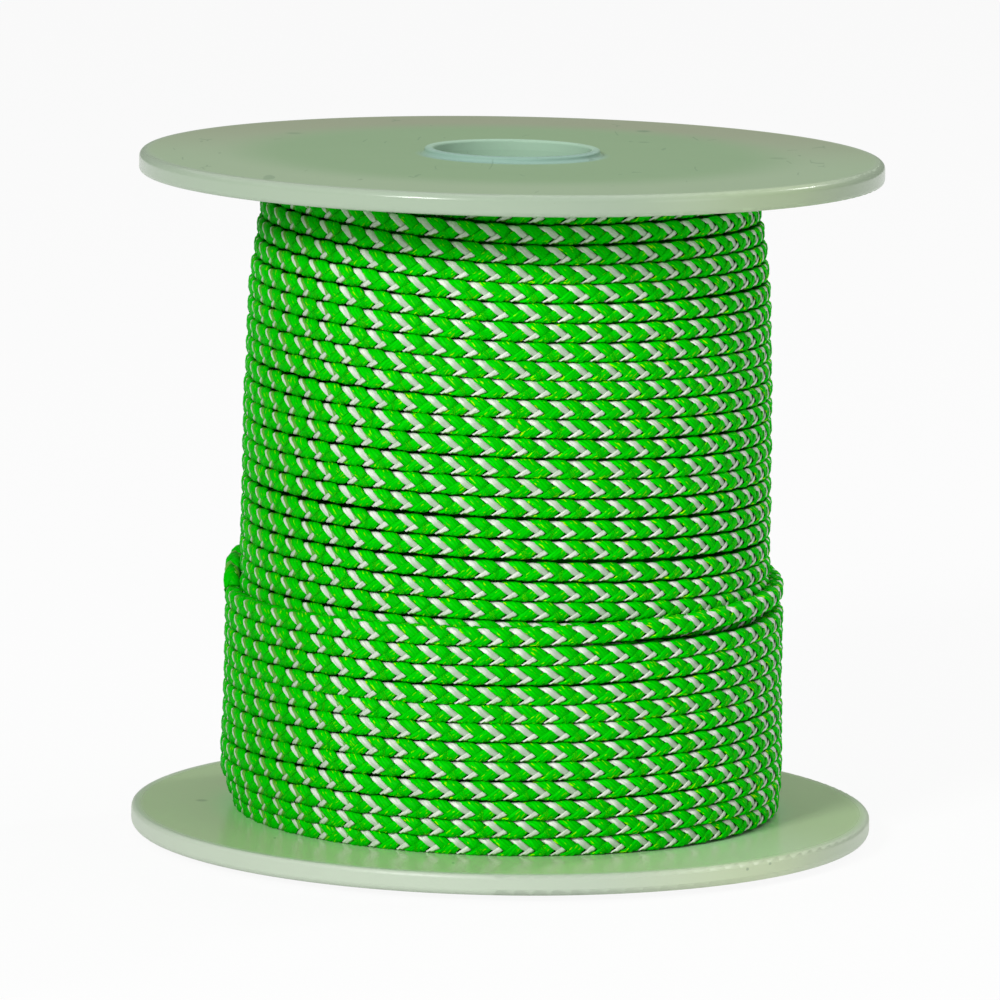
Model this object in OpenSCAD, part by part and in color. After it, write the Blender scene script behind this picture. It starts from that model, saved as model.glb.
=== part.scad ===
// Spool of braided fishing line.
// Two moulded plastic halves push together inside the barrel, and one length of
// braided line is wound on it: full layers from flange to flange, then a last
// layer that covers only the lower part. All sizes are millimetres.
// Origin: centre of the base, on the plane the spool stands on. +Z is the spindle axis.

/* [Flanges] */
// Outside diameter of both flanges
flange_d = 80; // [70:1:100]
// Thickness of each flange
flange_t = 2.25; // [1.8:0.05:3]
// Clear width between the flanges, where the line is wound
traverse = 68.8; // [64:0.1:80]
// Rounding of the rim on the outer face
rim_outer_r = 0.75; // [0.3:0.05:0.85]
// Rounding of the rim on the face towards the line
rim_inner_r = 0.45; // [0.2:0.05:0.8]

/* [Bore and barrel] */
// Diameter of the bore that turns on a spindle
bore_d = 17; // [12:0.5:18]
// Wall of the barrel
wall_t = 2.25; // [2:0.05:2.6]
// Fillet between the barrel and the flange
barrel_fillet = 0.5; // [0.2:0.05:0.7]
// Height of the raised collar round the bore
collar_h = 0.65; // [0.4:0.05:1]
// Width of the flat land on top of the collar
collar_land = 0.45; // [0.3:0.05:0.8]
// Rounding of the collar's mouth
collar_edge_r = 0.25; // [0.15:0.05:0.35]
// Hollow fillet from the collar down to the flange
collar_fillet = 0.6; // [0.3:0.05:1]

/* [Barrel joint] */
// Length of the spigot on the lower half
spigot_len = 8; // [4:0.5:15]
// Clearance between spigot and socket, all round
spigot_gap = 0.03; // [0.01:0.01:0.1]
// Lead-in chamfer at the tip of the spigot
spigot_lead = 0.4; // [0.2:0.1:0.6]

/* [Line] */
// Diameter of the braided line, pulled snug
line_d = 1.95; // [1.6:0.05:2]
// Clearance between one turn or layer and the next surface
line_gap = 0.02; // [0.02:0.01:0.06]
// Full layers from flange to flange
full_layers = 9; // [3:2:9]
// Turns that lie side by side across the traverse
turns = 32; // [10:1:32]
// Turns in the last layer, which covers only the lower part
part_turns = 11; // [3:1:20]
// How far the loose end climbs above its last turn
end_climb = 1.1; // [0:0.1:3]

/* [Hidden] */
$fn = 48;
bore_r = bore_d / 2;
barrel_r = bore_r + wall_t;
rim_r = flange_d / 2;
spigot_r = bore_r + wall_t / 2;
height = 2 * (collar_h + flange_t) + traverse;
flange_top = collar_h + flange_t;
middle = height / 2;

layer_step = line_d + line_gap;
first_r = barrel_r + line_gap + line_d / 2;
lowest = flange_top + line_gap + line_d / 2;
highest = height - lowest;
pitch_step = 0.04;
pitch = pitch_step * floor((highest - lowest) / turns / pitch_step);
reversal_slack = highest - lowest - turns * pitch;
plain_halves = 2 * turns - 3;
part_halves = 2 * part_turns - 1;
back_d = line_d - 0.02;

function layer_name(k) = str("line_layer_", k < 10 ? "0" : "", k);

// ---- spool body ----

// Ring with a rectangular section, as the profile of a revolve.
module band(r_in, r_out, z_low, z_high) {
  translate([r_in, z_low]) square([r_out - r_in, z_high - z_low]);
}

// Hollow corner fillet: the corner is at [r, z], and the arc bulges away from it.
module corner_fillet(r, z, size) {
  difference() {
    translate([r, z]) square(size);
    translate([r + size, z + size]) circle(size);
  }
}

// Flange profile with its two rim edges rounded. The outer face is down.
module flange_profile() {
  band(bore_r, rim_r - rim_outer_r, collar_h, flange_top);
  band(bore_r, rim_r, collar_h + rim_outer_r, flange_top - rim_inner_r);
  band(bore_r, rim_r - rim_inner_r, collar_h + rim_outer_r, flange_top);
  translate([rim_r - rim_outer_r, collar_h + rim_outer_r]) circle(rim_outer_r);
  translate([rim_r - rim_inner_r, flange_top - rim_inner_r]) circle(rim_inner_r);
}

// Collar round the bore: a flat land, a rounded mouth and a hollow outer side.
module collar_profile() {
  land_in = bore_r + collar_edge_r;
  land_out = land_in + collar_land;
  foot = land_out + collar_edge_r;
  band(land_in, land_out, 0, collar_h + flange_t / 2);
  band(bore_r, foot, collar_edge_r, collar_h + flange_t / 2);
  translate([land_in, collar_edge_r]) circle(collar_edge_r);
  translate([land_out, collar_edge_r]) circle(collar_edge_r);
  side = min(collar_fillet, collar_h - collar_edge_r);
  mirror([0, 1]) corner_fillet(foot, -collar_h, side);
}

// One half as it leaves the mould, flange down: the barrel ends at the joint.
module half_profile() {
  flange_profile();
  collar_profile();
  corner_fillet(barrel_r, flange_top, barrel_fillet);
  band(bore_r, barrel_r, collar_h + flange_t / 2, middle);
}

// Lower half, with the spigot that enters the upper barrel.
module lower_half() {
  tip = middle + spigot_len;
  color([0.78, 0.86, 0.77])
    rotate_extrude() {
      half_profile();
      polygon([
        [bore_r, middle - 1],
        [spigot_r, middle - 1],
        [spigot_r, tip - spigot_lead],
        [spigot_r - spigot_lead, tip],
        [bore_r, tip]
      ]);
    }
}

// Upper half, turned over, with the socket for the spigot.
module upper_half() {
  socket_r = spigot_r + spigot_gap;
  socket_floor = 0.3;
  color([0.80, 0.88, 0.79])
    translate([0, 0, height]) mirror([0, 0, 1])
      rotate_extrude() difference() {
        half_profile();
        band(bore_r - 1, socket_r, middle - spigot_len - socket_floor, middle + 1);
      }
}

// ---- wound line ----

// A station is where the line crosses the plane y = 0, as [distance from the axis, height].
// Half a turn is half a ring, tipped about Y, so its two ends lie in that plane and point
// along Y. The halves therefore meet end to end and follow the helix with no kink.
module half_turn(left, right, side_start, thick) {
  span = left[0] + right[0];
  rise = right[1] - left[1];
  translate([(right[0] - left[0]) / 2, 0, (left[1] + right[1]) / 2])
    rotate([0, -atan2(rise, span), 0])
      rotate_extrude(angle = 180, start = side_start)
        translate([norm([span, rise]) / 2, 0]) circle(d = thick);
}

// The line runs round the front from left to right and round the back from right to left.
// The back is drawn a hair thinner, so that where two halves meet, one end disc lies well
// inside the other and the two always join.
module front_half(left, right) { half_turn(left, right, 180, line_d); }
module back_half(right, left) { half_turn(left, right, 0, back_d); }

module line_run(stations, from_left) {
  for (i = [0 : len(stations) - 2]) {
    if ((i % 2 == 0) == from_left) front_half(stations[i], stations[i + 1]);
    else back_half(stations[i], stations[i + 1]);
  }
}

// Odd layers run down from the upper flange, even layers run up from the lower one.
function runs_down(k) = k % 2 == 1;
function way(k) = runs_down(k) ? -1 : 1;
function layer_r(k) = first_r + (k - 1) * layer_step;
function start_z(k) = runs_down(k) ? highest : lowest;
function turned_z(k) = start_z(k) + way(k) * (pitch + reversal_slack);
function plain_z(k, i) = turned_z(k) + way(k) * i * pitch / 2;

// Where a layer starts: it steps out from the layer below while it reaches the flange.
function step_out(k) = k == 1 ? [] : [[layer_r(k - 1), plain_z(k - 1, plain_halves)]];
function layer_stations(k, halves) = concat(
  step_out(k),
  [[layer_r(k), start_z(k)]],
  [for (i = [0 : halves]) [layer_r(k), plain_z(k, i)]]);

// The first layer has no step, so it starts on the other side.
function starts_left(k) = (k == 1) != runs_down(k);

module line_layer(k) {
  color(k % 2 == 1 ? [0.10, 0.72, 0.12] : [0.14, 0.78, 0.16])
    line_run(layer_stations(k, plain_halves), starts_left(k));
}

// The last layer stops part of the way up. Its end is melted to a small bead, so that the
// braid can't fray, and lies on the layer below.
module line_last_layer() {
  k = full_layers + 1;
  laid = layer_stations(k, part_halves - 1);
  tail = [layer_r(k), plain_z(k, part_halves) + end_climb];
  bead_d = line_d + 0.2;
  color([0.12, 0.80, 0.14]) {
    line_run(concat(laid, [tail]), starts_left(k));
    translate([-tail[0] - bead_d / 2 + line_d / 2, 0, tail[1]]) sphere(d = bead_d);
  }
}

lower_half();
upper_half();
for (k = [1 : full_layers]) line_layer(k);
line_last_layer();
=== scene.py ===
# %% [markdown]
# # A spool of braided fishing line
# The spool is two plastic flanges on one barrel, and a long braided line is wound on it in
# layers. The CAD model already has the exact spool body, so this lesson keeps it and only gives
# it a finish. The line is another matter: the CAD model draws it as a smooth round rod, while
# the real one is plaited from eight flat strands, white and green by turns. We plait it here.

import math

import bmesh
import bpy
import numpy as np
from mathutils import Matrix, Vector


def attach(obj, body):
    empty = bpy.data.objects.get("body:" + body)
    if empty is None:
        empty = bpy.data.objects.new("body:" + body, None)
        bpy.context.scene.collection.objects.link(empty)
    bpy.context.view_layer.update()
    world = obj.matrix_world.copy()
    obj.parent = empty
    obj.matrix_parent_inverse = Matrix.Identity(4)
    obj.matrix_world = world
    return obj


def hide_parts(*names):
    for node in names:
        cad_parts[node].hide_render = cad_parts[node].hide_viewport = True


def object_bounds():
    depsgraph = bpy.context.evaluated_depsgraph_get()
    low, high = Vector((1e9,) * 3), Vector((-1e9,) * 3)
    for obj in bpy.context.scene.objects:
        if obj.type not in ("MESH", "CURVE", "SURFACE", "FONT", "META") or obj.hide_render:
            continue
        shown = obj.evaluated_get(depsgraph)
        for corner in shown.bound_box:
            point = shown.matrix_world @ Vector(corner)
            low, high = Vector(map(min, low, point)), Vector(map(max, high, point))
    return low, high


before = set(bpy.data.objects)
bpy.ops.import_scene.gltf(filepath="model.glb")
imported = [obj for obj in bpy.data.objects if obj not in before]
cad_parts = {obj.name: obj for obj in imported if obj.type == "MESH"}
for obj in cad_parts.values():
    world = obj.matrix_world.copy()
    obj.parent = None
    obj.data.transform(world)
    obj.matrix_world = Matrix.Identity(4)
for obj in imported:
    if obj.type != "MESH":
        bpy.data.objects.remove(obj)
cad_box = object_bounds()
MM = 0.001
print("nodes:", sorted(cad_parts))
print("CAD box in mm:", [round(v / MM, 2) for corner in cad_box for v in corner])

# %% [markdown]
# ## The camera
# A long lens far away keeps the two flanges nearly the same size. The camera stands a little
# above the upper flange, looks slightly down and is rolled by one degree, because nobody holds
# a camera perfectly level. Its axes are worked out from those three angles.

# %% Camera
CAMERA_AT = Vector((0, -926.8, 173.45)) * MM
HEADING, DOWN, ROLL = -0.0007, 0.1468, 0.0183
SENSOR_MM = 36.0
LENS_TO_SENSOR = 8.683

ahead = Vector((
    math.sin(HEADING) * math.cos(DOWN),
    math.cos(HEADING) * math.cos(DOWN),
    -math.sin(DOWN),
))
level = ahead.cross(Vector((0, 0, 1))).normalized()
rolled = Matrix.Rotation(-ROLL, 3, ahead)
side = rolled @ level
above = rolled @ level.cross(ahead)

camera = bpy.data.objects.new("camera", bpy.data.cameras.new("camera"))
camera.data.sensor_width = SENSOR_MM
camera.data.lens = LENS_TO_SENSOR * SENSOR_MM
camera.data.clip_start = 0.05
camera.data.clip_end = 50
camera.matrix_world = Matrix.LocRotScale(CAMERA_AT, Matrix((side, above, -ahead)).transposed(), None)
bpy.context.scene.collection.objects.link(camera)
bpy.context.scene.camera = camera
print("camera side axis:", tuple(round(v, 4) for v in side))

# %% [markdown]
# ## Wiring a material with plain sums
# A finish is easier to read as arithmetic than as a web of nodes. This small class holds one
# socket. Sums and products of it add Math nodes, and one method adds every other kind of node.
# The kinds that the finishes use again and again have a short method each.


# %% A socket that understands arithmetic
class Wire:
    """One socket of a material. Arithmetic on it adds Math nodes."""

    def __init__(self, tree, socket=None):
        self.tree = tree
        self.socket = socket

    def node(self, kind, settings=None, sockets=None, output=0):
        """Adds a node: its kind, its settings, then the values or links of its sockets."""
        made = self.tree.nodes.new(kind)
        for name, value in (settings or {}).items():
            setattr(made, name, value)
        for name, value in (sockets or {}).items():
            if isinstance(value, Wire):
                self.tree.links.new(value.socket, made.inputs[name])
            else:
                made.inputs[name].default_value = value
        return Wire(self.tree, made.outputs[output] if made.outputs else None)

    def out(self, name):
        return Wire(self.tree, self.socket.node.outputs[name])

    def maths(self, operation, *terms):
        return self.node("ShaderNodeMath", {"operation": operation}, dict(enumerate(terms)))

    def __add__(self, other):
        return self.maths("ADD", self, other)

    def __sub__(self, other):
        return self.maths("SUBTRACT", self, other)

    def __rsub__(self, other):
        return self.maths("SUBTRACT", other, self)

    def __mul__(self, other):
        return self.maths("MULTIPLY", self, other)

    __radd__ = __add__

    def axes(self):
        """The X part of a place. Its out() gives the Y and Z parts."""
        return self.node("ShaderNodeSeparateXYZ", None, {0: self})

    def scaled(self, scale):
        return self.node("ShaderNodeMapping", None, {"Vector": self, "Scale": scale})

    def noise(self, scale, detail, output=0):
        """Noise at this place. Output 0 is its value and output 1 its colour."""
        sockets = {"Vector": self, "Scale": scale, "Detail": detail}
        return self.node("ShaderNodeTexNoise", None, sockets, output)

    def between(self, low, high):
        """0 at low and 1 at high, with soft ends."""
        return self.node(
            "ShaderNodeMapRange",
            {"interpolation_type": "SMOOTHSTEP"},
            {"Value": self, "From Min": low, "From Max": high},
        )

    def mixed(self, under, over):
        """The colour under where this wire is 0, and over where it is 1."""
        sockets = {0: self, 6: under, 7: over}
        return self.node("ShaderNodeMix", {"data_type": "RGBA"}, sockets, output=2)


def colour(red, green, blue):
    return (red, green, blue, 1.0)


def blank_material(name):
    made = bpy.data.materials.new(name)
    made.use_nodes = True
    made.node_tree.nodes.clear()
    return made, Wire(made.node_tree)


print("a Wire can do:", [word for word in dir(Wire) if not word.startswith("__")])

# %% [markdown]
# ## A pale room
# The spool stands on a plain pale floor under soft light. Floor and sky are white where the
# camera looks straight at them or a glossy surface mirrors them. As lamps they stay moderate,
# so that a colour comes out about as it is written. The floor keeps some of the spool's shadow.
# A low round wall stands about the floor, and only glossy surfaces see it. It is dim, so the
# smooth rims mirror something darker than the floor and don't turn white.

# %% Floor and sky
FLOOR_HALF = 4.0
FLOOR_GLOW = 0.92
SKY_STRENGTH = 0.26
WALL_R, WALL_HEIGHT, WALL_LIGHT = 2.5, 1.4, 0.28


def seen_directly(wire):
    path = wire.node("ShaderNodeLightPath")
    mirrored = path.maths("MAXIMUM", path.out("Is Glossy Ray"), path.out("Is Transmission Ray"))
    return path.maths("MAXIMUM", path.out("Is Camera Ray"), mirrored)


floor_material, wire = blank_material("pale_floor")
matt = wire.node("ShaderNodeBsdfDiffuse", None, {"Color": colour(0.9, 0.9, 0.9)})
glow = wire.node("ShaderNodeEmission", None, {"Color": colour(1, 1, 1), "Strength": 1.0})
both = wire.node("ShaderNodeMixShader", None, {0: seen_directly(wire) * FLOOR_GLOW, 1: matt, 2: glow})
wire.node("ShaderNodeOutputMaterial", None, {"Surface": both})

floor_mesh = bmesh.new()
bmesh.ops.create_grid(floor_mesh, x_segments=1, y_segments=1, size=FLOOR_HALF)
floor = bpy.data.objects.new("floor", bpy.data.meshes.new("floor"))
floor_mesh.to_mesh(floor.data)
floor_mesh.free()
floor.data.materials.append(floor_material)
bpy.context.scene.collection.objects.link(floor)

wall_mesh = bmesh.new()
bmesh.ops.create_cone(
    wall_mesh, cap_ends=False, segments=64, radius1=WALL_R, radius2=WALL_R, depth=WALL_HEIGHT
)
bmesh.ops.translate(wall_mesh, verts=wall_mesh.verts, vec=(0, 0, WALL_HEIGHT / 2))
wall = bpy.data.objects.new("dim_wall", bpy.data.meshes.new("dim_wall"))
wall_mesh.to_mesh(wall.data)
wall_mesh.free()
wall_material, wire = blank_material("dim_wall")
dim = wire.node("ShaderNodeEmission", None, {"Color": colour(0.9, 1.0, 0.85), "Strength": WALL_LIGHT})
wire.node("ShaderNodeOutputMaterial", None, {"Surface": dim})
wall.data.materials.append(wall_material)
bpy.context.scene.collection.objects.link(wall)
wall.visible_camera = wall.visible_diffuse = wall.visible_shadow = wall.visible_transmission = False

sky = bpy.data.worlds.new("pale_sky")
sky.use_nodes = True
sky.node_tree.nodes.clear()
bpy.context.scene.world = sky
wire = Wire(sky.node_tree)
level_of_sky = seen_directly(wire) * (1 - SKY_STRENGTH) + SKY_STRENGTH
lit = wire.node("ShaderNodeBackground", None, {"Color": colour(1, 1, 1), "Strength": level_of_sky})
wire.node("ShaderNodeOutputWorld", None, {"Surface": lit})
print("floor half width in m:", FLOOR_HALF)

# %% [markdown]
# ## Lamps
# The key lamp stands at the front left, high enough for the upper flange to shade the first
# turns of line. A large weak lamp at the right fills the shade, as a softbox does, and a faint
# one hangs above. A small lamp behind at the right draws the bright line along the rim.

# %% Lamps
AIM_AT = Vector((0, 0, 37)) * MM


def soft_lamp(name, place, width, watts):
    lamp = bpy.data.objects.new(name, bpy.data.lights.new(name, "AREA"))
    lamp.data.shape = "DISK"
    lamp.data.size = width
    lamp.data.energy = watts
    lamp.location = place
    lamp.rotation_mode = "QUATERNION"
    lamp.rotation_quaternion = (AIM_AT - lamp.location).to_track_quat("-Z", "Y")
    bpy.context.scene.collection.objects.link(lamp)
    return lamp


soft_lamp("key_lamp", Vector((-0.45, -0.80, 0.50)), 0.24, 7.2)
soft_lamp("fill_lamp", Vector((0.80, -0.55, 0.22)), 0.5, 1.5)
soft_lamp("top_lamp", Vector((0.1, 0.1, 0.9)), 0.6, 1.3)
soft_lamp("edge_lamp", Vector((0.62, 0.46, 0.68)), 0.10, 1.6)
bpy.context.scene.view_settings.view_transform = "Standard"

# %% [markdown]
# ## The spool body
# The body is natural, slightly milky plastic. The material isn't see-through, so the light of
# the winding that glows through the thin flange is painted on, green over the line. The rim is
# painted palest, painted light gathered in it, and the wall of the bore is painted a pale cool
# green, painted light come through the plastic. The faces away from the line have the mould's
# fine matt texture and are painted darker towards the back, painted shade. The faces towards the
# line are smooth and mirror it. They are also painted paler, painted light, and over the line a
# bright green, the winding's painted light and painted reflection. A bluish band on the near side
# of the collar is a painted reflection too. Most of that depends only on the distance from the
# axis and on the height, so the finish is painted by those numbers, in millimetres. The rim and
# the inner faces are also paler at the right, as if more light came through there. That light is
# painted on as well. The rim of the lower flange is a little rougher than the upper one, and both
# faces have a few small marks, the upper one dust and hairs too.

# %% Plastic finish
RIM_R = round(cad_box[1][0] / MM, 3)
SPOOL_HEIGHT = round(cad_box[1][2] / MM, 3)
BORE_R = 8.5
COLLAR_HEIGHT, FLANGE_TOP = 0.65, 2.9
UPPER_FACE, LOWER_FACE = SPOOL_HEIGHT - COLLAR_HEIGHT, COLLAR_HEIGHT
UPPER_INNER, LOWER_INNER = SPOOL_HEIGHT - FLANGE_TOP, FLANGE_TOP
PALER_AT_RIGHT = (1.17, 1.18, 0.99, 1.0)
# Roughness of the smooth faces, and what the matt ones have on top of it.
SMOOTH, MATT_MORE = 0.22, 0.38


def length_of(x, y):
    """The distance of a point from the axis."""
    squared = x * x + y * y
    return squared.maths("SQRT", squared)


def spots(x, y, marks):
    """The depth of each mark on a small soft spot. A mark is [x, y, radius, stretch, depth]."""
    total = None
    for at_x, at_y, size, wide, depth in marks:
        far = length_of((x - at_x) * (1 / wide), y - at_y)
        spot = far.between(size, size * 0.3) * depth
        total = spot if total is None else total + spot
    return total


def dust(place):
    """Two wires: 1 on scattered specks, and 1 on short hairs. Both are drawn out along Y."""
    laid = place.scaled((1.0, 0.3, 1.0))
    cells = laid.node("ShaderNodeTexVoronoi", None, {"Vector": laid, "Scale": 420.0})
    chosen = cells.out("Color").axes()
    specks = cells.between(0.09, 0.05) * chosen.between(0.86, 0.88)
    bend = laid.noise(260.0, 1.0, output=1)
    bend = laid.node("ShaderNodeVectorMath", {"operation": "SCALE"}, {0: bend, "Scale": 0.003})
    bent_place = laid.node("ShaderNodeVectorMath", None, {0: laid, 1: bend})
    seams = laid.node(
        "ShaderNodeTexVoronoi",
        {"feature": "DISTANCE_TO_EDGE"},
        {"Vector": bent_place, "Scale": 260.0},
    )
    hairs = seams.between(0.030, 0.012) * laid.noise(520.0, 0.0).between(0.72, 0.74)
    return specks, hairs


def moulded_plastic(name, matt_face, smooth_face, marks, rim_colour, rim_rough, hairs_show):
    """The finish of one half: the heights of its two faces, then what is its own."""
    material, wire = blank_material(name)
    place = wire.node("ShaderNodeTexCoord").out("Object")
    axes = place.axes()
    x, y, z = (axes.out(axis) * (1 / MM) for axis in "XYZ")
    radius = length_of(x, y)
    up = 1 if matt_face > smooth_face else -1
    outside = (z * up).between(matt_face * up - 0.5, matt_face * up - 0.25)
    at_rim = radius.between(RIM_R - 1.5, RIM_R - 0.25)
    in_bore = radius.between(BORE_R + 1.3, BORE_R + 0.5)
    over_line = radius.between(33.0, 24.0)
    cloud = place.noise(90.0, 3.0) - 0.5

    # The face away from the line, then the one towards it, then rim, bore and collar.
    # Painted shade: the face away from the line is darker and greyer towards the back. Over the line
    # it is painted green, the winding's light through the plastic painted on.
    face = y.between(-12, 32).mixed(colour(0.335, 0.445, 0.285), colour(0.305, 0.345, 0.23))
    face = over_line.mixed(face, colour(0.255, 0.385, 0.215))
    # The face towards the line is painted paler, painted light, and paler still at the right front.
    # Over the line it is a bright painted green, the winding's light and reflection painted on.
    at_right = x.between(8, 28) * (1 - x.between(29, 38) * 0.75)
    inner = (at_right * y.between(-4, -24)).mixed(colour(0.50, 0.66, 0.36), colour(0.57, 0.74, 0.46))
    inner = over_line.mixed(inner, at_right.mixed(colour(0.30, 0.92, 0.32), colour(0.26, 0.94, 0.42)))
    body = outside.mixed(inner, face)
    # The rim is painted palest, painted light gathered in it, and paler still at the right.
    rim_at_right = tuple(part * more for part, more in zip(rim_colour, PALER_AT_RIGHT))
    body = at_rim.mixed(body, at_right.mixed(rim_colour, rim_at_right))
    # The wall of the bore is painted a pale cool green, painted light come through the plastic.
    body = in_bore.mixed(body, colour(0.385, 0.57, 0.425))
    # A painted bluish reflection on the near side of the collar.
    on_collar = radius.between(BORE_R + 2.2, BORE_R + 1.2)
    on_collar = on_collar * radius.between(BORE_R + 0.1, BORE_R + 0.3)
    body = (on_collar * y.between(4, -6)).mixed(body, colour(0.28, 0.44, 0.37))

    specks, hairs = dust(place)
    on_face = outside * (1 - at_rim) * (1 - in_bore)
    # This darkening is the plastic's own: random tone, the marks, dust and hairs.
    shade = cloud * 0.10 + spots(x, y, marks) + specks * 0.45 + hairs * on_face * hairs_show
    body = shade.maths("MAXIMUM", shade, 0.0).mixed(body, colour(0.13, 0.22, 0.13))

    grain = place.noise(2600.0, 2.0)
    bump = wire.node("ShaderNodeBump", None, {"Strength": 0.12, "Distance": 0.00004, "Height": grain})
    rough = SMOOTH + outside * (1 - at_rim) * MATT_MORE + at_rim * (rim_rough - SMOOTH) + cloud * 0.06
    skin = wire.node(
        "ShaderNodeBsdfPrincipled",
        None,
        {"Base Color": body, "Roughness": rough, "Normal": bump, "IOR": 1.4},
    )
    wire.node("ShaderNodeOutputMaterial", None, {"Surface": skin})
    return material


upper_plastic = moulded_plastic(
    "spool_plastic_upper",
    UPPER_FACE,
    UPPER_INNER,
    marks=[
        (14.4, 25.9, 1.6, 0.7, 0.6),
        (14.3, 14.4, 1.0, 0.9, 0.4),
        (-23.9, 17.1, 1.4, 0.9, 0.4),
        (28.5, 0.5, 1.5, 0.9, 0.3),
    ],
    rim_colour=colour(0.37, 0.46, 0.345),
    rim_rough=SMOOTH,
    hairs_show=0.40,
)
lower_plastic = moulded_plastic(
    "spool_plastic_lower",
    LOWER_FACE,
    LOWER_INNER,
    marks=[(-32.4, -0.1, 1.0, 0.9, 0.4)],
    rim_colour=colour(0.53, 0.61, 0.49),
    rim_rough=0.38,
    hairs_show=0.0,
)
for node_name, plastic in (("upper_half", upper_plastic), ("lower_half", lower_plastic)):
    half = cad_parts[node_name]
    half.data.materials.clear()
    half.data.materials.append(plastic)
    print(node_name, "faces:", len(half.data.polygons))

# %% [markdown]
# ## One lay of the braid
# Eight flat strands make the braid: four lean one way round the line and four the other way.
# Each strand passes over two others and then under two, so at any time it shows on one quarter
# of the line and hides on the next. The visible part between two dives is called a pick. A row
# of picks leaning down to the right sits above a row leaning up to the right, and together they
# draw the arrow pattern. One lay is the length in which a strand goes once round, so it has
# four picks in each row. Only the rows that face outward are made, because the winding hides
# the others. The line is pulled tight onto the turns below and pressed flat where it faces
# outward, so its section is a rounded square and not a circle. The white strands are narrower
# than the green ones, which crowd over them.

# %% Measures of the braid
# All in millimetres. The section is a superellipse: FLAT and TALL are its half sizes as shares
# of the round line, and SQUARE is its power, where 2 would be a plain ellipse.
LINE_R = 0.975
LAY = 6.54
PICKS_A_ROW = 4
PICK_HALF_LENGTH = 1.70
DIVE = 0.125
STRAND_R = 0.785
FLAT, TALL, SQUARE = 0.86, 1.075, 3.2
PRESSED_OUT = 0.12
WRAP_R = 0.76
LEAN = math.atan(2 * math.pi * WRAP_R / LAY)
QUARTER_TURN = WRAP_R * math.pi / 2 / math.sin(LEAN)
ROLL_OF_LINE = math.radians(-6)

# How thick a strand is, how far it stands out, how it tilts, and how much its left and right
# edges draw in towards its start. A negative value widens it there.
WHITE = {"thick": 0.12, "lift": -0.055, "tilt": 0.05, "pinch": (0.35, 0.90)}
GREEN = {"thick": 0.170, "lift": 0.012, "tilt": 0.09, "pinch": (-0.30, 0.05)}

# A row's place round the line, the way it leans, its start, the half widths of a white and a
# green strand, and the mark that tells its finish from the upper row's.
LOWER_MARK = 4.0
UPPER_ROW = {
    "round": math.radians(45),
    "hand": 1,
    "shift": 0.0,
    "widths": (0.40, 0.615),
    "mark": 0.0,
}
LOWER_ROW = {
    "round": math.radians(-45),
    "hand": -1,
    "shift": LAY / 8,
    "widths": (0.355, 0.67),
    "mark": LOWER_MARK,
}
CREST_ROW = dict(LOWER_ROW, round=math.radians(135))
print("strand lean in degrees:", round(math.degrees(LEAN), 1))

# %% [markdown]
# ## Making a pick
# A pick starts as an eight-sided cone piece and is cut into rings. Each ring is then moved to
# its place on the strand's way: along the line, round it, and in and out. Three maps go with it
# for the finish: one runs along the fibres in millimetres, one over the whole pick, and one
# gives the angle round the line, which tells where the groove to the next turn is.

# %% One pick, and a lay of picks
PICK_SIDES, PICK_CUTS = 8, 5
TIP_NARROWS = 0.30
FLATTENS = 0.6
FIBRE_SHIFT = (3.7, 1.3)
NO_GROOVE = 0.7


def on_strand(corner, row, start, number):
    """Moves a corner of the straight pick to its place on the line, which lies along X."""
    yarn_kind = GREEN if number % 2 else WHITE
    on_right = row["hand"] * corner.x > 0
    if corner.z > 0:
        thin = 1 - TIP_NARROWS * corner.z**3
    else:
        thin = 1 - yarn_kind["pinch"][on_right] * corner.z**2
    ahead_mm = corner.z * PICK_HALF_LENGTH
    across = corner.x * row["widths"][number % 2] * thin
    flat = math.copysign(abs(corner.y) ** FLATTENS, corner.y)
    outward = (
        flat * yarn_kind["thick"] * thin
        + yarn_kind["lift"]
        - yarn_kind["tilt"] * row["hand"] * corner.x
    )
    reach = STRAND_R + DIVE * math.cos(math.pi * ahead_mm / QUARTER_TURN) + outward
    turn = (across * math.cos(LEAN) - row["hand"] * ahead_mm * math.sin(LEAN)) / WRAP_R
    angle = row["round"] + ROLL_OF_LINE + turn
    flatness = abs(math.cos(angle) / FLAT) ** SQUARE + abs(math.sin(angle) / TALL) ** SQUARE
    reach = reach * flatness ** (-1 / SQUARE)
    along = start + ahead_mm * math.cos(LEAN) + row["hand"] * across * math.sin(LEAN)
    return Vector((along, PRESSED_OUT + reach * math.cos(angle), reach * math.sin(angle)))


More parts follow.
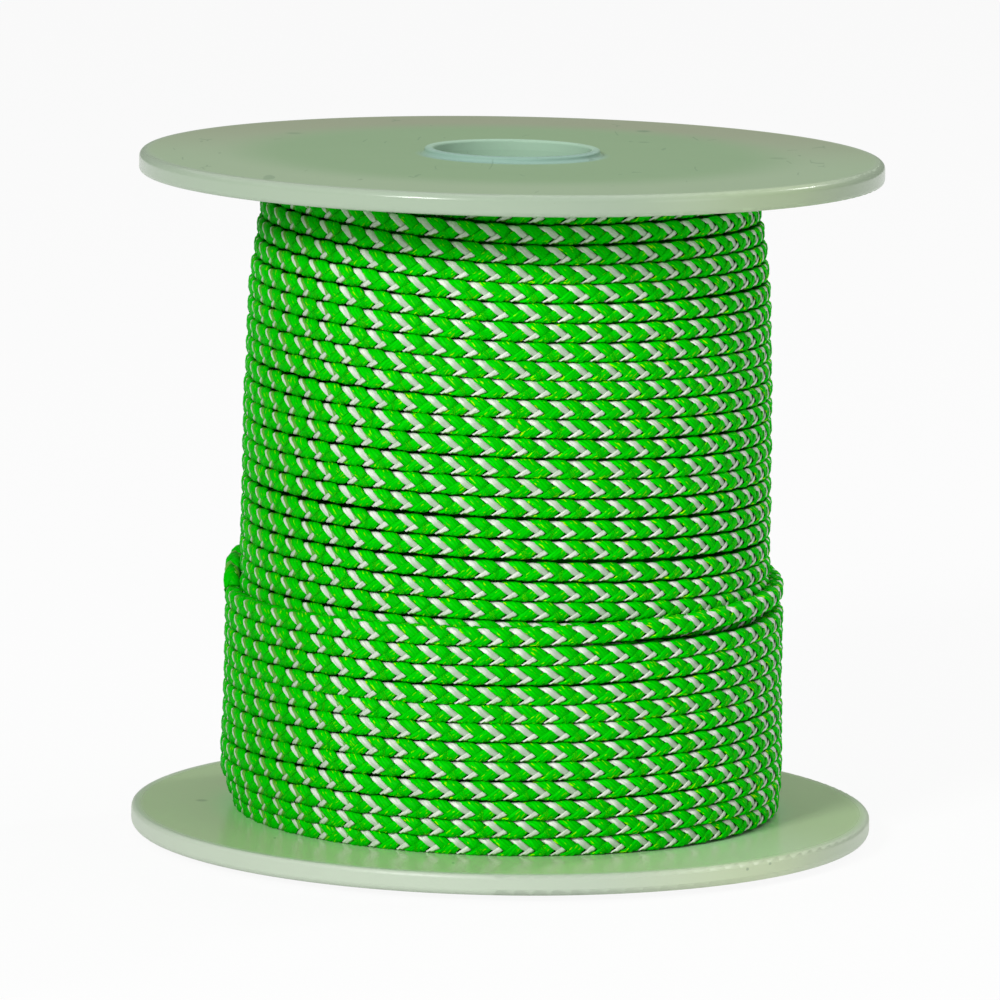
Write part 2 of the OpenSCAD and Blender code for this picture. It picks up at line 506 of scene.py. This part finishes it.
def add_pick(lay, maps, row, number, open_above):
    """Adds one pick to the lay. With open_above nothing lies above it, so no groove is there."""
    made = bmesh.ops.create_cone(
        lay, cap_ends=True, segments=PICK_SIDES, radius1=1, radius2=1, depth=2
    )
    lengthwise = {
        edge
        for vert in made["verts"]
        for edge in vert.link_edges
        if abs(edge.verts[0].co.z - edge.verts[1].co.z) > 1
    }
    bmesh.ops.subdivide_edges(lay, edges=list(lengthwise), cuts=PICK_CUTS)
    faces = [face for face in lay.faces if not face.tag]
    width = row["widths"][number % 2]
    for face in faces:
        face.tag = True
        face.smooth = True
        face.material_index = number % 2
        for loop in face.loops:
            spot = loop.vert.co
            loop[maps[0]].uv = (
                spot.z * PICK_HALF_LENGTH + FIBRE_SHIFT[0] * number,
                spot.x * width + FIBRE_SHIFT[1] * number,
            )
            loop[maps[1]].uv = (spot.z + row["mark"], spot.x)
    start = row["shift"] + (number + 0.5) * LAY / PICKS_A_ROW
    for vert in {vert for face in faces for vert in face.verts}:
        vert.co = on_strand(vert.co, row, start, number)
    for face in faces:
        for loop in face.loops:
            angle = math.atan2(loop.vert.co.z, loop.vert.co.y - PRESSED_OUT)
            loop[maps[2]].uv = (min(angle, NO_GROOVE) if open_above else angle, 0.0)


def straight_lay(rows):
    lay = bmesh.new()
    maps = [lay.loops.layers.uv.new(name) for name in ("fibre", "pick", "side")]
    for row in rows:
        for number in range(PICKS_A_ROW):
            add_pick(lay, maps, row, number, CREST_ROW in rows)
    bmesh.ops.recalc_face_normals(lay, faces=lay.faces)
    return lay


sample = straight_lay([UPPER_ROW, LOWER_ROW])
triangles = sum(len(face.verts) - 2 for face in sample.faces)
print("faces in one lay:", len(sample.faces), "triangles:", triangles)
sample.free()

# %% [markdown]
# ## The way the line runs
# The line goes round the spool, so its way is given by an angle that starts at the front and
# grows towards the right. For each angle a layer says how far from the axis the line is and how
# high. A little unevenness keeps the turns from looking machined. The way also needs a direction
# at every point: along the line, outward from the winding, and square to both.


# %% Way of a layer
STEPS_A_TURN = 180
MIDDLE = SPOOL_HEIGHT / 2
LOWEST = FLANGE_TOP + LINE_R


class Way:
    """Points of the line in millimetres, with their distance along it and their directions."""

    def __init__(self, angle, radius, height):
        self.points = np.stack([radius * np.sin(angle), -radius * np.cos(angle), height], axis=1)
        steps = np.linalg.norm(np.diff(self.points, axis=0), axis=1)
        self.along = np.concatenate([[0.0], np.cumsum(steps)])
        self.length = self.along[-1]
        self.forward = unit(np.gradient(self.points, self.along, axis=0))
        outward = np.stack([np.sin(angle), -np.cos(angle), np.zeros_like(angle)], axis=1)
        self.outward = unit(outward - self.forward * np.sum(outward * self.forward, axis=1)[:, None])
        self.upward = np.cross(self.outward, self.forward)

    def at(self, distance):
        """Place, outward and upward directions at those distances along the line."""
        found = []
        for rows in (self.points, self.outward, self.upward):
            columns = [np.interp(distance, self.along, rows[:, axis]) for axis in range(3)]
            found.append(np.stack(columns, axis=1))
        return found


def unit(rows):
    return rows / np.linalg.norm(rows, axis=1)[:, None]


def turns_between(first, last):
    """Angles from one turn number to another. Turn 0 is at the front."""
    return np.linspace(first, last, int((last - first) * STEPS_A_TURN) + 1) * 2 * math.pi


def uneven(angle, size, seed):
    """A slow wander of about that size, different on every turn."""
    waves = [(0.37, 1.9), (0.83, 4.4), (1.31, 0.7), (2.17, 3.1)]
    return size * sum(np.sin(angle * rate + seed * start) for rate, start in waves) / 2


print("points a turn:", STEPS_A_TURN)


# %% [markdown]
# ## From a straight braid to a wound one
# The straight lay is repeated along X by an Array modifier and then bent onto the way: the
# distance along X becomes the distance along the line, and the cross-section turns with the
# outward and upward directions. The same bend serves for the smooth core, a plain round bar
# that fills the middle of the braid and closes the gaps between the strands. Its dark green is
# painted shade, the shade deep in the braid that shows in those gaps.

# %% Bending a straight piece onto the way
SLIP, HELD_AT_ENDS = 0.28, 60
LAY_SHIFT = (2.39, 5.83)
BAR_SIDES = 8


def slipped(distance, length):
    """The same distances with the braid a little stretched here and a little bunched there."""
    near_end = np.clip(np.minimum(distance, length - distance) / HELD_AT_ENDS, 0, 1)
    waves = np.sin(distance / 61) + np.sin(distance / 97 + 2) + np.sin(distance / 31 + 4)
    return distance + SLIP * waves * near_end


def bent(name, straight, way, start, stretch, materials):
    """Makes the object: straight is a mesh along X in mm, which starts at that distance."""
    count = len(straight.vertices)
    places = np.empty(count * 3)
    straight.vertices.foreach_get("co", places)
    places = places.reshape(count, 3)
    centre, outward, upward = way.at(slipped(start + places[:, 0] * stretch, way.length))
    moved = centre + outward * places[:, 1:2] + upward * places[:, 2:3]
    straight.vertices.foreach_set("co", (moved * MM).ravel())
    straight.update()
    made = bpy.data.objects.new(name, straight)
    for material in materials:
        made.data.materials.append(material)
    bpy.context.scene.collection.objects.link(made)
    return made


def repeated(lay, count):
    """The mesh of that many lays in a row."""
    bench = bpy.data.objects.new("bench", bpy.data.meshes.new("bench"))
    lay.to_mesh(bench.data)
    lay.free()
    bpy.context.scene.collection.objects.link(bench)
    row = bench.modifiers.new("along the line", "ARRAY")
    row.count = count
    row.use_relative_offset = False
    row.use_constant_offset = True
    row.constant_offset_displace = (LAY, 0, 0)
    graph = bpy.context.evaluated_depsgraph_get()
    made = bpy.data.meshes.new_from_object(bench.evaluated_get(graph))
    bpy.data.objects.remove(bench)
    return made


def vary_fibres(mesh):
    """Moves each lay's fibre map to a place of its own, so that no two lays look alike."""
    corners = np.empty(len(mesh.loops), dtype=np.int32)
    mesh.loops.foreach_get("vertex_index", corners)
    places = np.empty(len(mesh.vertices) * 3)
    mesh.vertices.foreach_get("co", places)
    lay_number = np.floor(places[0::3] / LAY)[corners]
    fibre = mesh.uv_layers["fibre"].data
    spots = np.empty(len(mesh.loops) * 2)
    fibre.foreach_get("uv", spots)
    spots[0::2] += lay_number * LAY_SHIFT[0]
    spots[1::2] += lay_number * LAY_SHIFT[1]
    fibre.foreach_set("uv", spots)


def braid(names, way, shares, last_rows):
    """The braided surface of the whole line, cut between lays into pieces of those shares."""
    total = round(way.length / LAY)
    stretch = way.length / (total * LAY)
    marks = [round(share * total) for share in (0, *shares, 1)]
    made = []
    for name, first, last in zip(names, marks[:-1], marks[1:]):
        rows = last_rows if name == names[-1] else [UPPER_ROW, LOWER_ROW]
        mesh = repeated(straight_lay(rows), last - first)
        vary_fibres(mesh)
        made.append(bent(name, mesh, way, first * LAY * stretch, stretch, YARNS))
    return made


def round_bar(name, way, radius, step, materials):
    """A closed round bar along the whole way, with a ring at about every step."""
    rings = int(way.length / step)
    bar = bmesh.new()
    bmesh.ops.create_cone(
        bar, cap_ends=True, segments=BAR_SIDES, radius1=radius, radius2=radius, depth=1
    )
    lengthwise = [e for e in bar.edges if abs(e.verts[0].co.z - e.verts[1].co.z) > 0.5]
    bmesh.ops.subdivide_edges(bar, edges=lengthwise, cuts=rings - 1)
    for vert in bar.verts:
        vert.co = Vector(((vert.co.z + 0.5) * way.length, vert.co.x, vert.co.y))
    bmesh.ops.recalc_face_normals(bar, faces=bar.faces)
    for face in bar.faces:
        face.smooth = True
    mesh = bpy.data.meshes.new(name)
    bar.to_mesh(mesh)
    bar.free()
    return bent(name, mesh, way, 0.0, 1.0, materials)


print("sides of a bar:", BAR_SIDES)

# %% [markdown]
# ## Yarn
# Every strand is a flat bundle of fine fibres. The fibre map runs along the strand, so a noise
# that is long along it and narrow across it draws the fibres, with painted shade in the thin
# grooves between their bundles. The map of the pick tells how far along the pick a point is: the
# end that dives under the next strand has painted shade, and so has the right edge of each pick,
# where the next strand lies over it. Short bright streaks on single fibres are painted glints,
# yellow-green on the green yarn, and the white yarn has a silky gloss. The yarn is not the same
# everywhere. Towards the left side the green strands crowd over the white ones, which shorten to
# leaves, and elsewhere the white arms of the lower row taper to wedges. At the left the lower row
# and the picks near the silhouette have painted shade. The first turns under the upper flange
# have the painted shadow of the flange, and the tail is painted a darker green. The grooves
# between the turns have painted shade, darker at the middle and the right than at the left.

# %% Yarn finishes
def yarn(name, deep, bright, glint, shade_colour, edge, darkened, dive_shade, groove, gloss, covered):
    """The finish of one yarn: one value says how much painted shade the diving end takes."""
    material, wire = blank_material(name)
    fibre = wire.node("ShaderNodeUVMap", {"uv_map": "fibre"})
    bundles = fibre.scaled((0.30, 4.4, 1.0)).noise(1.0, 1.6)
    single = fibre.scaled((1.2, 6.5, 1.0)).noise(1.0, 1.0)
    drift = fibre.noise(0.7, 1.0)
    across = fibre.axes().out("Y")
    plies = across.maths("COSINE", across * 21.0 + drift * 9.0)

    # Where on its pick the point is. The rows are told apart by the mark of the lower one.
    pick = wire.node("ShaderNodeUVMap", {"uv_map": "pick"}).axes()
    lower = pick.between(LOWER_MARK / 2 - 0.1, LOWER_MARK / 2 + 0.1)
    lengthwise = pick - lower * LOWER_MARK
    rightward = pick.out("Y") * (1 - lower * 2.0)

    # Where round the line and where on the spool it is, in millimetres.
    angle = wire.node("ShaderNodeUVMap", {"uv_map": "side"}).axes()
    in_groove = angle.between(0.95, 1.22) + angle.between(-0.95, -1.22)
    place = wire.node("ShaderNodeTexCoord").out("Object").axes()
    x = place.out("X") * (1 / MM)
    z = place.out("Z") * (1 / MM)
    at_left = x.between(-8, -24)
    # Painted shade on the end of a pick that dives under the next strand, less of it at the left, and
    # on the lower row at the left.
    diving = lengthwise.between(-0.28, 0.34) * (1 - lower * 0.55) * (1 - at_left * 0.6)
    diving = diving + lower * at_left * 0.6
    # Painted shade near the left silhouette, and the painted shadow of the upper flange on the first
    # turns.
    at_edge = x.between(-15, -26)
    shaded = z.between(63, 70) * 0.5 + at_edge * 0.5
    # The tail is painted a darker green.
    on_tail = x.between(-28.2, -28.9) * z.between(26.5, 27.2) * z.between(32, 31)

    body = bundles.between(0.40, 0.54).mixed(deep, bright)
    body = (diving * dive_shade).mixed(body, shade_colour)
    # Painted shade in the thin grooves between the fibre bundles.
    body = (plies.between(-0.55, -1.0) * groove).mixed(body, edge)
    # Painted glints: short bright streaks on single fibres, kept off the end in painted shade.
    body = (single.between(0.65, 0.68) * (1 - diving)).mixed(body, glint)
    body = shaded.mixed(body, shade_colour)
    # The right edge of each pick takes painted shade where the next strand lies over it, yellowish
    # green on a white pick. Near the left silhouette the white is painted over with the darker green:
    # painted shade and the green strands' cover. The lower row's white arms are painted into wedges.
    ends = (lengthwise * lengthwise).between(0.03, 0.50)
    wedge = lower * (1 - at_left) * lengthwise.between(0.65, -0.25)
    cover = at_left * (0.45 + ends * 2.8) + at_edge * 1.4 + wedge * 2.6
    covering = cover.between(0.1, 0.6).mixed(edge, darkened)
    body = (rightward + cover * covered).between(0.60, 0.98).mixed(body, covering)
    body = (on_tail * 0.85).mixed(body, darkened)
    # Painted shade in the grooves between the turns, darker at the middle and the right than at the
    # left.
    groove_shade = 0.15 + x.between(-26, -8) * 0.40 + x.between(4, 18) * 0.38
    body = (in_groove * groove_shade).mixed(body, colour(0.0, 0.08, 0.0))

    height = bundles * 0.6 + single * 0.3 + plies * 0.12
    bump = wire.node("ShaderNodeBump", None, {"Strength": 0.9, "Distance": 0.00006, "Height": height})
    skin = wire.node(
        "ShaderNodeBsdfPrincipled",
        None,
        {"Base Color": body, "Roughness": 0.45, "Normal": bump, "Specular IOR Level": gloss},
    )
    wire.node("ShaderNodeOutputMaterial", None, {"Surface": skin})
    return material


white_yarn = yarn(
    "white_yarn",
    deep=colour(0.62, 0.70, 0.58),
    bright=colour(0.90, 0.92, 0.85),
    glint=colour(0.94, 0.95, 0.93),
    shade_colour=colour(0.36, 0.48, 0.35),
    edge=colour(0.42, 0.48, 0.20),
    darkened=colour(0.08, 0.36, 0.01),
    dive_shade=0.90,
    groove=0.15,
    gloss=0.45,
    covered=0.5,
)
green_yarn = yarn(
    "green_yarn",
    deep=colour(0.0, 0.53, 0.0),
    bright=colour(0.0, 0.68, 0.0),
    glint=colour(0.42, 0.86, 0.0),
    shade_colour=colour(0.0, 0.40, 0.0),
    edge=colour(0.0, 0.38, 0.0),
    darkened=colour(0.0, 0.50, 0.0),
    dive_shade=0.5,
    groove=0.75,
    gloss=0.02,
    covered=0.0,
)
# The core's dark green is painted shade, the shade deep inside the braid between the strands.
core_yarn, wire = blank_material("core_yarn")
shaded = wire.node("ShaderNodeBsdfDiffuse", None, {"Color": colour(0.0, 0.24, 0.0)})
wire.node("ShaderNodeOutputMaterial", None, {"Surface": shaded})
melted_yarn, wire = blank_material("melted_yarn")
place = wire.node("ShaderNodeTexCoord").out("Object")
lumps = place.noise(1800.0, 3.0)
body = lumps.between(0.4, 0.6).mixed(colour(0.0, 0.40, 0.0), colour(0.02, 0.58, 0.01))
bump = wire.node("ShaderNodeBump", None, {"Strength": 0.6, "Distance": 0.0001, "Height": lumps})
skin = wire.node(
    "ShaderNodeBsdfPrincipled", None, {"Base Color": body, "Roughness": 0.35, "Normal": bump}
)
wire.node("ShaderNodeOutputMaterial", None, {"Surface": skin})
YARNS = [white_yarn, green_yarn]
print("yarns:", [m.name for m in YARNS])

# %% [markdown]
# ## The full layer
# The outermost full layer shows from the upper flange down to where the last layer begins. It
# runs downwards, and is only made down to a little below the top of the last layer, which hides
# the rest. Near the upper flange the turns sink inwards a little, because the layers below them
# are not quite full there. Each turn is also tipped, lower at the right.

# %% Full layer
CORE_R, CORE_STEP = 0.62, 2.4
FULL_TOP = 69.25
FULL_PITCH = 2.126
SHOWN_TURNS = 22.2
FULL_START = -1.1
FULL_TIP = ((0, 6, 12, 22), (0.40, 0.38, 0.22, 0.12))
FULL_SAG = ((0, 3, 8, 12), (-0.90, -0.62, 0.0, 0.28))
FULL_R = 27.6
FULL_PROFILE = (
    (31.2, 46.9, 58.5, 61.2, 63.8, 65.8, 68.1, 71.2),
    (FULL_R, 27.45, 27.1, 26.87, 26.55, 26.27, 25.92, 25.5),
)


def full_layer_way():
    angle = turns_between(FULL_START, SHOWN_TURNS)
    turn = angle / (2 * math.pi)
    looser = 0.30 * np.clip((turn - 14) / 3, 0, 1)
    from_front = (turn + 0.5) % 1 - 0.5
    at_front = np.exp(-((from_front / 0.12) ** 2))
    height = FULL_TOP - FULL_PITCH * turn - looser - np.interp(turn, *FULL_TIP) * np.sin(angle)
    height = height + at_front * np.interp(turn, *FULL_SAG) + uneven(angle, 0.05, 1.0)
    height = np.minimum(height, 2 * MIDDLE - LOWEST - 0.02)
    radius = np.interp(height, *FULL_PROFILE) + uneven(angle, 0.04, 2.0)
    radius = radius - 1.9 * np.clip((-0.98 - turn) / 0.12, 0, 1)
    return Way(angle, radius, height)


full_way = full_layer_way()
core = round_bar("layer_09_core", full_way, CORE_R, CORE_STEP, [core_yarn])
names = [f"layer_09_braid_{number}" for number in (1, 2, 3)]
full_pieces = [core] + braid(names, full_way, (1 / 3, 2 / 3), [UPPER_ROW, LOWER_ROW])
for piece in full_pieces:
    print(piece.name, "faces:", len(piece.data.polygons))

# %% [markdown]
# ## The last layer
# The last layer lies on the full one and runs upwards from the lower flange. Its first turns
# lie deeper at the left, as if the line had not yet climbed fully onto the layer below.

# %% Last layer
LAST_BOTTOM = 3.82
LAST_PITCH = 2.036
LAST_TIP = 0.06
LAST_TURNS = 11
LAST_START = -0.8
FIRST_TURNS = (-0.75, -0.45, -0.25, 0.05, 0.35, 0.6, 0.78, 1.0, 1.2)
DEEPER = (1.9, 1.7, 1.4, 0.6, 0.0, 0.25, 0.75, 0.3, 0.0)


def last_layer_way():
    angle = turns_between(LAST_START, LAST_TURNS)
    turn = angle / (2 * math.pi)
    height = np.maximum(LAST_BOTTOM + LAST_PITCH * turn - LAST_TIP * np.sin(angle), LOWEST)
    height = height + np.where(turn > 1, uneven(angle, 0.05, 3.0), 0)
    radius = np.interp(height, (3.5, 9, 15, 27), (29.35, 29.4, 29.2, 29.1)) + uneven(angle, 0.04, 4.0)
    radius = radius - np.interp(turn, FIRST_TURNS, DEEPER)
    return angle, radius, height


print("turns of the last layer:", LAST_TURNS - LAST_START)

# %% [markdown]
# ## The loose end
# After its top turn the line climbs round the back, comes steeply down again at the left and
# ends there, its tip sunk into the start of the top turn. The end is melted to a smooth cap, so
# that the braid can't fray. The loose part has no neighbour above it, so a third row of picks
# shows there. Its way is a few listed points, softened so that no corner is left.

# %% The loose end
END_TURNS = (0.0, 0.10, 0.25, 0.40, 0.55, 0.66, 0.722, 0.745, 0.751, 0.755)
END_RISE = (0.0, 0.55, 1.35, 2.2, 2.9, 3.3, 2.65, 1.8, 0.9, -0.1)
END_OUT = (0.0, 0.0, 0.0, 0.0, 0.0, 0.1, 0.2, 0.22, 0.22, 0.1)
END_POINTS, END_SOFTENING = 300, 12
MELTED_SIZE = (0.5, 0.80, 0.96)
MELTED_BACK = 0.55


def softened(values, width):
    """A running mean that rounds the corners and keeps the two ends."""
    padded = np.concatenate([np.full(width, values[0]), values, np.full(width, values[-1])])
    kernel = np.ones(2 * width + 1) / (2 * width + 1)
    return np.convolve(padded, kernel, mode="same")[width:-width]


def loose_end(angle, radius, height):
    """The angles, distances and heights after the top turn."""
    way_on = np.linspace(0, len(END_TURNS) - 1, END_POINTS)
    knots = np.arange(len(END_TURNS))
    turn, rise, out = (
        softened(np.interp(way_on, knots, values), END_SOFTENING)
        for values in (END_TURNS, END_RISE, END_OUT)
    )
    return (
        np.concatenate([angle, angle[-1] + turn[1:] * 2 * math.pi]),
        np.concatenate([radius, radius[-1] + out[1:]]),
        np.concatenate([height, height[-1] + rise[1:]]),
    )


last_way = Way(*loose_end(*last_layer_way()))
TOP_TURN_FROM = 10.2
turn_length = last_way.along[int((TOP_TURN_FROM - LAST_START) * STEPS_A_TURN)]
last_pieces = [round_bar("last_layer_core", last_way, CORE_R, CORE_STEP, [core_yarn])]
share = turn_length / last_way.length
names = ["last_layer_braid_1", "last_layer_braid_2", "last_layer_loose_end"]
last_pieces += braid(names, last_way, (share / 2, share), [UPPER_ROW, LOWER_ROW, CREST_ROW])

melted = bmesh.new()
bmesh.ops.create_icosphere(melted, subdivisions=3, radius=1.0)
bmesh.ops.scale(melted, vec=MELTED_SIZE, verts=melted.verts)
tip = (last_way.length - MELTED_BACK, PRESSED_OUT, 0)
bmesh.ops.translate(melted, vec=tip, verts=melted.verts)
for face in melted.faces:
    face.smooth = True
melted_mesh = bpy.data.meshes.new("last_layer_melted_end")
melted.to_mesh(melted_mesh)
melted.free()
melted_end = bent("last_layer_melted_end", melted_mesh, last_way, 0.0, 1.0, [melted_yarn])
last_pieces.append(melted_end)
for piece in last_pieces:
    print(piece.name, "faces:", len(piece.data.polygons))

# %% [markdown]
# ## The layers below
# Eight more layers lie under the ones that show. Nobody sees them on a full spool, so each is a
# plain round bar on its own way, and only fills the winding with the core's dark green, which is
# painted shade. They run up and down by turns and draw in towards the upper flange with the full
# layer, the outer ones most.

# %% Hidden layers
FIRST_R, LAYER_STEP = 11.745, 1.97
BARREL_R = 10.75
HIDDEN_R = 0.90
HIDDEN_TURNS = 31.5
FULL_LAYERS = 9
DRAWS_IN = 1.1


def hidden_way(number):
    angle = turns_between(0, HIDDEN_TURNS)
    runs_down = number % 2 == 1
    rise = (angle - angle[0]) / (angle[-1] - angle[0])
    height = LOWEST + (2 * MIDDLE - 2 * LOWEST) * (1 - rise if runs_down else rise)
    drawn_in = np.interp(height, *FULL_PROFILE) - FULL_R
    radius = FIRST_R + (number - 1) * LAYER_STEP + drawn_in * number / FULL_LAYERS * DRAWS_IN
    return Way(angle, np.maximum(radius, BARREL_R + HIDDEN_R), height)


hidden_pieces = []
for number in range(1, FULL_LAYERS):
    step = 3.0 + 0.3 * number
    bar = round_bar(f"layer_{number:02d}", hidden_way(number), HIDDEN_R, step, [core_yarn])
    hidden_pieces.append(bar)
face_count = sum(len(piece.data.polygons) for piece in hidden_pieces)
print("hidden layers:", len(hidden_pieces), "faces:", face_count)

# %% [markdown]
# ## Riding on the body
# Every piece rides on the one rigid body, and the CAD nodes that it stands for are hidden.

# %% Ride and replace
for piece in hidden_pieces:
    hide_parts("line_" + piece.name)
for piece in full_pieces:
    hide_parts("line_layer_09")
for piece in last_pieces:
    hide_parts("line_last_layer")
for piece in hidden_pieces + full_pieces + last_pieces:
    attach(piece, "root")

# %% [markdown]
# ## Finish
